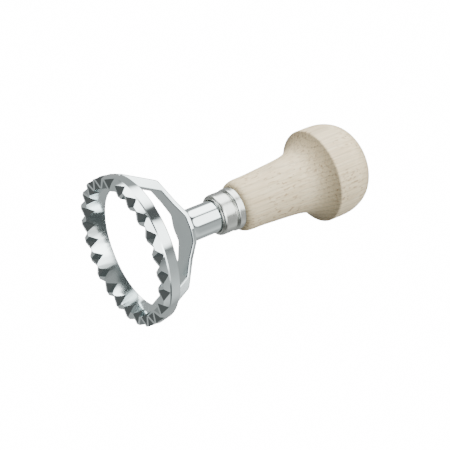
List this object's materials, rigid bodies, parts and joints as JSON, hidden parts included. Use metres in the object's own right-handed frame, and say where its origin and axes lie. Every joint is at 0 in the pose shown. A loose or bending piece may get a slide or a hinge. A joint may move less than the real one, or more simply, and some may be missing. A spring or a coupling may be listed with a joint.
{
  "type": "round ravioli and pastry stamp",
  "caption": "Hand stamp with an open fluted metal cutting ring, a strap bridge, a round stem, a metal ferrule and a turned wooden knob handle.",
  "frame": {"origin": "centre of the cutting edge, in the plane the edge stands on", "axes": "+Z along the tool's axis from the cutting edge to the knob; the two arms of the bridge lie along +X and -X"},
  "size_m": [0.0604, 0.0604, 0.115],
  "materials": {
    "plated_metal": "bright plated casting",
    "ferrule_metal": "bright plated",
    "beech": "turned and unfinished",
    "steel": "plain"
  },
  "bodies": {
    "root": {"cutter_head": "plated_metal", "ferrule": "ferrule_metal", "handle": "beech", "stud": "steel"}
  },
  "joints": []
}
